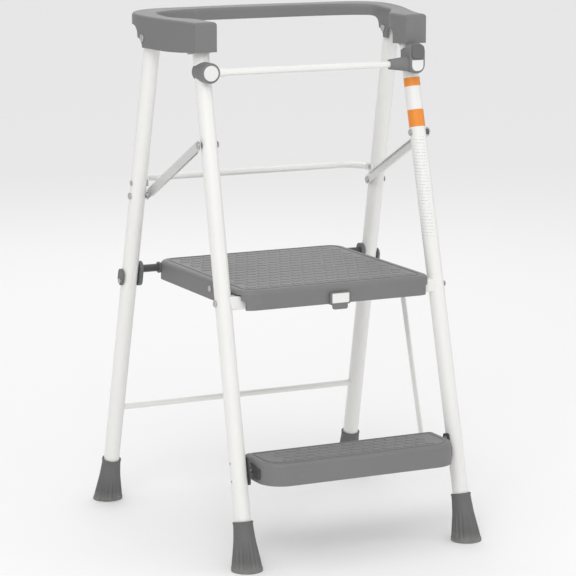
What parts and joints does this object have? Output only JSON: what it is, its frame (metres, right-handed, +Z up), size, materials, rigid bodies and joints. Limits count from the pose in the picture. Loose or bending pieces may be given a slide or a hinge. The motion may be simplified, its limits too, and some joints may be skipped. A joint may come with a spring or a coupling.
{
  "type": "step stool",
  "caption": "Folding two-step stool with a U-shaped handrail, a large platform, a lower step driven by a link and a swinging gate bar across the front.",
  "frame": {"origin": "on the floor, at the middle of the stool's footprint", "axes": "+Z up, -Y the side that is climbed from, +X the right side as seen from the side that is climbed from"},
  "size_m": [0.6026, 0.6429, 0.9963],
  "materials": {
    "white_tube": "glossy warm-white powder coat",
    "grey_plastic": "fine matt grain",
    "foot_rubber": "matt rubber",
    "silver_metal": "bright satin",
    "steel_pin": "zinc plated",
    "dark_steel": "dark satin coat",
    "white_plastic": "white",
    "label": "blank sticker"
  },
  "bodies": {
    "front_frame": {"front_leg_left": "white_tube", "front_leg_right": "white_tube", "front_foot_left": "foot_rubber", "front_foot_right": "foot_rubber", "front_crossbar": "white_tube", "crossbar_plugs": "white_plastic", "crossbar_bolts": "steel_pin", "step_bracket_left": "dark_steel", "step_bracket_right": "dark_steel", "step_bracket_rivets": "steel_pin", "step_pivot_pins": "steel_pin", "brace_front_pins": "steel_pin", "brace_spacers": "grey_plastic", "gate_saddle": "grey_plastic", "gate_bolt": "steel_pin", "gate_keeper": "grey_plastic", "leg_labels": "label"},
    "handrail": {"handrail": "grey_plastic", "handrail_front_pins": "steel_pin", "handrail_rear_rivets": "steel_pin"},
    "rear_frame": {"rear_leg_left": "white_tube", "rear_leg_right": "white_tube", "rear_foot_left": "foot_rubber", "rear_foot_right": "foot_rubber", "rear_lower_bar": "white_tube", "rear_upper_bar": "white_tube", "upper_bar_rivets": "steel_pin", "platform_rod": "white_tube", "rod_clamp_left": "grey_plastic", "rod_clamp_right": "grey_plastic", "rod_clamp_bolts": "steel_pin", "brace_leg_rivets": "steel_pin"},
    "brace_left": {"brace_left": "silver_metal", "brace_end_rivet_left": "steel_pin"},
    "brace_right": {"brace_right": "silver_metal", "brace_end_rivet_right": "steel_pin"},
    "platform": {"platform": "grey_plastic", "rod_bushes": "grey_plastic", "latch_housing": "grey_plastic", "link_top_pin": "steel_pin", "platform_side_rivet": "steel_pin"},
    "pull_tab": {"pull_tab": "grey_plastic", "tab_label": "white_plastic"},
    "step_link": {"step_link": "white_tube"},
    "lower_step": {"lower_step": "grey_plastic", "step_end_left": "dark_steel", "step_end_right": "dark_steel"},
    "gate": {"gate_hub": "grey_plastic", "gate_cap": "white_plastic", "gate_ferrule": "white_tube", "gate_bar": "white_tube", "gate_head": "grey_plastic", "gate_label": "white_plastic"},
    "gate_button": {"gate_button": "grey_plastic"}
  },
  "joints": [
    {"name": "handrail_fold", "type": "hinge", "parent": "front_frame", "child": "handrail", "pos_m": [0, -0.06324, 0.9317], "axis": [1, 0, 0], "range_deg": [-91.57, 0]},
    {"name": "rear_fold", "type": "hinge", "parent": "handrail", "child": "rear_frame", "pos_m": [0, 0.07146, 0.9486], "axis": [1, 0, 0], "range_deg": [0, 64.88]},
    {"name": "brace_left_fold", "type": "hinge", "parent": "front_frame", "child": "brace_left", "pos_m": [0, -0.10425, 0.7634], "axis": [1, 0, 0], "range_deg": [-67.51, 0]},
    {"name": "brace_right_fold", "type": "hinge", "parent": "front_frame", "child": "brace_right", "pos_m": [0, -0.10425, 0.7634], "axis": [1, 0, 0], "range_deg": [-67.51, 0]},
    {"name": "platform_fold", "type": "hinge", "parent": "rear_frame", "child": "platform", "pos_m": [0, 0.17783, 0.4875], "axis": [1, 0, 0], "range_deg": [-76, 0]},
    {"name": "pull_tab_slide", "type": "slide", "parent": "platform", "child": "pull_tab", "axis": [0, -1, 0], "range_m": [0, 0.012], "stiffness_N_per_m": 400},
    {"name": "link_fold", "type": "hinge", "parent": "platform", "child": "step_link", "pos_m": [0, -0.0632, 0.485], "axis": [1, 0, 0], "range_deg": [0, 100.58]},
    {"name": "step_fold", "type": "hinge", "parent": "front_frame", "child": "lower_step", "pos_m": [0, -0.24755, 0.1754], "axis": [1, 0, 0], "range_deg": [0, 77.03]},
    {"name": "gate_swing", "type": "hinge", "parent": "front_frame", "child": "gate", "pos_m": [-0.21738, 0, 0.8955], "axis": [0, -1, 0], "range_deg": [0, 90]},
    {"name": "gate_button_press", "type": "slide", "parent": "gate", "child": "gate_button", "axis": [0, 1, 0], "range_m": [0, 0.003], "stiffness_N_per_m": 800}
  ],
  "couplings": [
    {"joint": "rear_fold", "follows": "handrail_fold", "ratio": -0.7085},
    {"joint": "brace_left_fold", "follows": "handrail_fold", "ratio": 0.7372},
    {"joint": "brace_right_fold", "follows": "handrail_fold", "ratio": 0.7372},
    {"joint": "platform_fold", "follows": "handrail_fold", "ratio": 0.8299},
    {"joint": "link_fold", "follows": "handrail_fold", "ratio": -1.0983},
    {"joint": "step_fold", "follows": "handrail_fold", "ratio": -0.8412}
  ]
}
